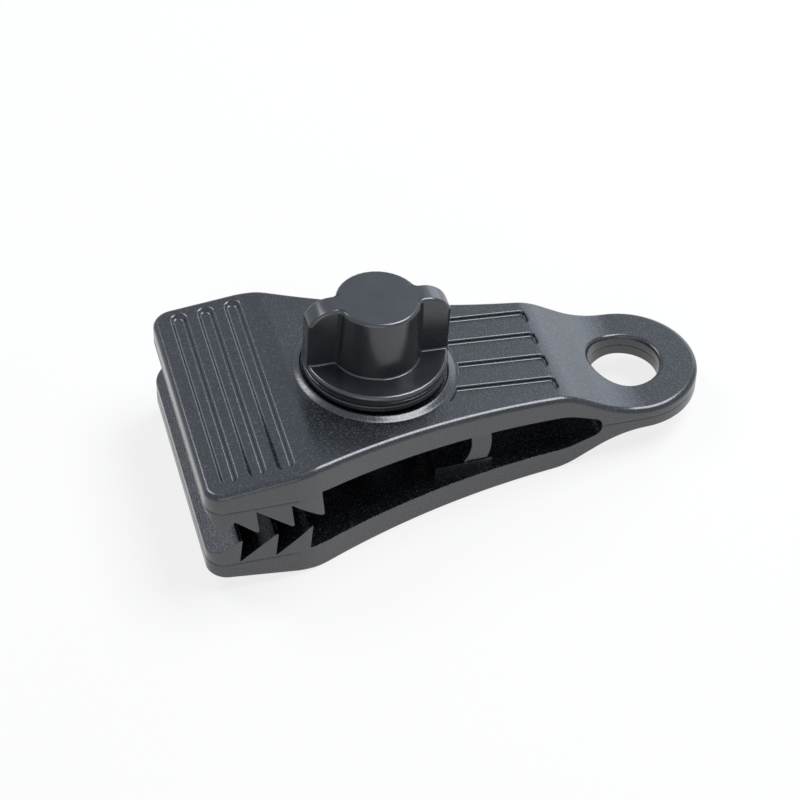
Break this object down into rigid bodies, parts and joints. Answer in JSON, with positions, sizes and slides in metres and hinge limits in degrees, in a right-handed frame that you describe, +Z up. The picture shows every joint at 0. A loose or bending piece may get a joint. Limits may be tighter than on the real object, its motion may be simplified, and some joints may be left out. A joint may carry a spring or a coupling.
{
  "type": "tarp clip",
  "caption": "Black plastic tarpaulin clip: toothed jaws joined by a springy tail with a round rope eye, drawn together by a winged thumb screw.",
  "frame": {"origin": "on the surface that the clip lies on, under the middle of its length and width", "axes": "+X from the toothed front to the rope eye, +Y across the clip, +Z up through the knob"},
  "size_m": [0.0906, 0.0464, 0.0358],
  "materials": {
    "jaw_plastic": "spark-eroded grain on the outer faces, smooth sides",
    "knob_plastic": "smooth satin moulding",
    "zinc_steel": "bright zinc plating"
  },
  "bodies": {
    "lower_jaw": {"lower_jaw": "jaw_plastic"},
    "upper_jaw": {"upper_jaw": "jaw_plastic", "spring_leaf": "jaw_plastic", "washer": "knob_plastic"},
    "knob": {"knob": "knob_plastic", "screw": "zinc_steel"},
    "nut": {"nut": "zinc_steel"}
  },
  "joints": [
    {"name": "knob_turn", "type": "hinge", "parent": "upper_jaw", "child": "knob", "pos_m": [-0.01072, 0, 0.02089], "axis": [0.1079, 0, 0.9942], "range_deg": [-555, 968]},
    {"name": "jaw_flex", "type": "hinge", "parent": "lower_jaw", "child": "upper_jaw", "pos_m": [0.02668, 0, 0.00719], "axis": [0, 1, 0], "range_deg": [-2.3, 4], "deforming": ["spring_leaf"]},
    {"name": "nut_travel", "type": "slide", "parent": "upper_jaw", "child": "nut", "axis": [0.1079, 0, 0.9942], "range_m": [-0.0027, 0.00156]}
  ],
  "couplings": [
    {"joint": "jaw_flex", "follows": "knob_turn", "ratio": 0.004117},
    {"joint": "nut_travel", "follows": "knob_turn", "m_per_rad": -0.00015915}
  ]
}
